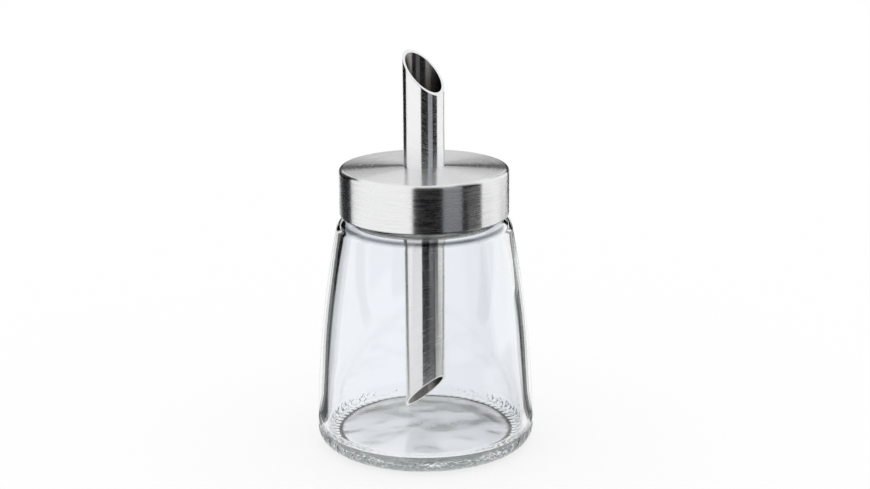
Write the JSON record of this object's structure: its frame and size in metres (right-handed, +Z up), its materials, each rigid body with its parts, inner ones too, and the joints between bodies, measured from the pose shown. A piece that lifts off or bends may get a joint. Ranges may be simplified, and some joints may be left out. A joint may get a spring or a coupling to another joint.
{
  "type": "sugar dispenser",
  "caption": "Clear glass jar that widens towards a thick base, closed by a brushed steel cap with an obliquely cut steel pour tube through its centre; doses sugar when tipped.",
  "frame": {"origin": "centre of the base, on the surface that the jar stands on", "axes": "+Z up along the axis of jar, cap and tube; -Y is the front; the tube's upper opening faces +X and -Y"},
  "size_m": [0.0734, 0.0734, 0.1328],
  "materials": {
    "clear_glass": "clear pressed soda-lime glass, fire-polished",
    "brushed_steel_cap": "stainless steel, turned brush lines round the side and on the top",
    "brushed_steel_tube": "stainless steel tube, fine brush lines round it, polished cut rims"
  },
  "bodies": {
    "root": {"glass_jar": "clear_glass", "steel_cap": "brushed_steel_cap", "pour_tube": "brushed_steel_tube"}
  },
  "joints": []
}
